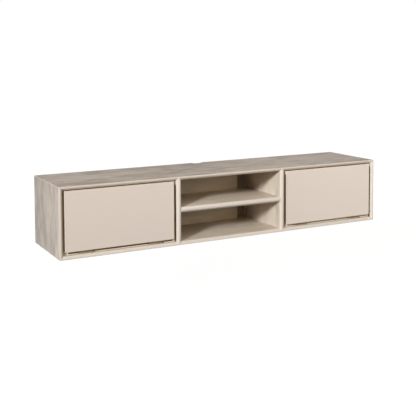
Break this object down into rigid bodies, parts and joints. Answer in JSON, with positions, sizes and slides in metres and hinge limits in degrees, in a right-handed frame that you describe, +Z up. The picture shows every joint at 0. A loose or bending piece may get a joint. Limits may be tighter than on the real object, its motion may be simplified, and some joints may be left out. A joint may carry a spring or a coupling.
{
  "type": "floating media console",
  "caption": "Long wall-hung media cabinet: bevelled mitred frame, two handle-less drop-down doors, open centre bay with a shelf, recessed back and a full-height cable slot.",
  "frame": {"origin": "on the wall plane, at the middle of the hanging rail's web, halfway along the console", "axes": "+X to the right along the front, +Y into the wall, +Z up"},
  "size_m": [1.8, 0.395, 0.335],
  "materials": {
    "veneer": "matt greige wood-grain board",
    "lacquer": "smooth matt greige lacquer",
    "rear_board": "thin unlacquered fibreboard",
    "zinc": "bright zinc plate",
    "champagne": "champagne paint on steel",
    "stay_grey": "grey enamelled tube",
    "black_plastic": "moulded matt black",
    "grey_plastic": "moulded matt grey"
  },
  "bodies": {
    "carcass": {"top_panel": "veneer", "bottom_panel": "veneer", "side_panel_left": "veneer", "side_panel_right": "veneer", "divider_left": "veneer", "divider_right": "veneer", "middle_shelf": "veneer", "shelf_pin_left_front": "zinc", "shelf_pin_left_back": "zinc", "shelf_pin_right_front": "zinc", "shelf_pin_right_back": "zinc", "bay_back_panel": "veneer", "rear_panel": "rear_board", "stop_frame_left": "veneer", "stop_frame_right": "veneer", "wall_rail": "zinc", "hanger_body_left_outer": "zinc", "hanger_body_left_inner": "zinc", "hanger_body_right_outer": "zinc", "hanger_body_right_inner": "zinc", "hanger_hook_left_outer": "zinc", "hanger_hook_left_inner": "zinc", "hanger_hook_right_outer": "zinc", "hanger_hook_right_inner": "zinc", "hinge_base_left_outer": "champagne", "hinge_base_left_inner": "champagne", "hinge_base_right_outer": "champagne", "hinge_base_right_inner": "champagne", "hinge_pin_left_outer": "champagne", "hinge_pin_left_inner": "champagne", "hinge_pin_right_outer": "champagne", "hinge_pin_right_inner": "champagne", "stay_bracket_left": "zinc", "stay_bracket_right": "zinc", "latch_housing_left": "black_plastic", "latch_housing_right": "black_plastic"},
    "door_left": {"door_panel_left": "lacquer", "hinge_flap_left_outer": "champagne", "hinge_flap_left_inner": "champagne", "stay_door_bracket_left": "zinc", "strike_plate_left": "zinc"},
    "door_right": {"door_panel_right": "lacquer", "hinge_flap_right_outer": "champagne", "hinge_flap_right_inner": "champagne", "stay_door_bracket_right": "zinc", "strike_plate_right": "zinc"},
    "stay_barrel_left": {"stay_cylinder_left": "stay_grey"},
    "stay_barrel_right": {"stay_cylinder_right": "stay_grey"},
    "stay_piston_left": {"stay_rod_left": "zinc"},
    "stay_piston_right": {"stay_rod_right": "zinc"},
    "latch_button_left": {"latch_plunger_left": "grey_plastic"},
    "latch_button_right": {"latch_plunger_right": "grey_plastic"}
  },
  "joints": [
    {"name": "left_door_hinge", "type": "hinge", "parent": "carcass", "child": "door_left", "pos_m": [-0.598, -0.3825, -0.226], "axis": [1, 0, 0], "range_deg": [0, 90]},
    {"name": "right_door_hinge", "type": "hinge", "parent": "carcass", "child": "door_right", "pos_m": [0.598, -0.3825, -0.226], "axis": [1, 0, 0], "range_deg": [0, 90]},
    {"name": "left_stay_swing", "type": "hinge", "parent": "carcass", "child": "stay_barrel_left", "pos_m": [-0.858, -0.155, -0.09], "axis": [1, 0, 0], "range_deg": [-1.2, 0]},
    {"name": "right_stay_swing", "type": "hinge", "parent": "carcass", "child": "stay_barrel_right", "pos_m": [0.858, -0.155, -0.09], "axis": [1, 0, 0], "range_deg": [-1.2, 0]},
    {"name": "left_stay_slide", "type": "slide", "parent": "stay_barrel_left", "child": "stay_piston_left", "axis": [0, -0.9327, -0.3607], "range_m": [0, 0.0955]},
    {"name": "right_stay_slide", "type": "slide", "parent": "stay_barrel_right", "child": "stay_piston_right", "axis": [0, -0.9327, -0.3607], "range_m": [0, 0.0955]},
    {"name": "left_latch_press", "type": "slide", "parent": "carcass", "child": "latch_button_left", "axis": [0, 1, 0], "range_m": [0, 0.003], "stiffness_N_per_m": 800, "springref_m": -0.004},
    {"name": "right_latch_press", "type": "slide", "parent": "carcass", "child": "latch_button_right", "axis": [0, 1, 0], "range_m": [0, 0.003], "stiffness_N_per_m": 800, "springref_m": -0.004}
  ],
  "couplings": [
    {"joint": "left_stay_swing", "follows": "left_door_hinge", "ratio": -0.01202},
    {"joint": "right_stay_swing", "follows": "right_door_hinge", "ratio": -0.01202},
    {"joint": "left_stay_slide", "follows": "left_door_hinge", "m_per_rad": 0.060727},
    {"joint": "right_stay_slide", "follows": "right_door_hinge", "m_per_rad": 0.060727}
  ]
}
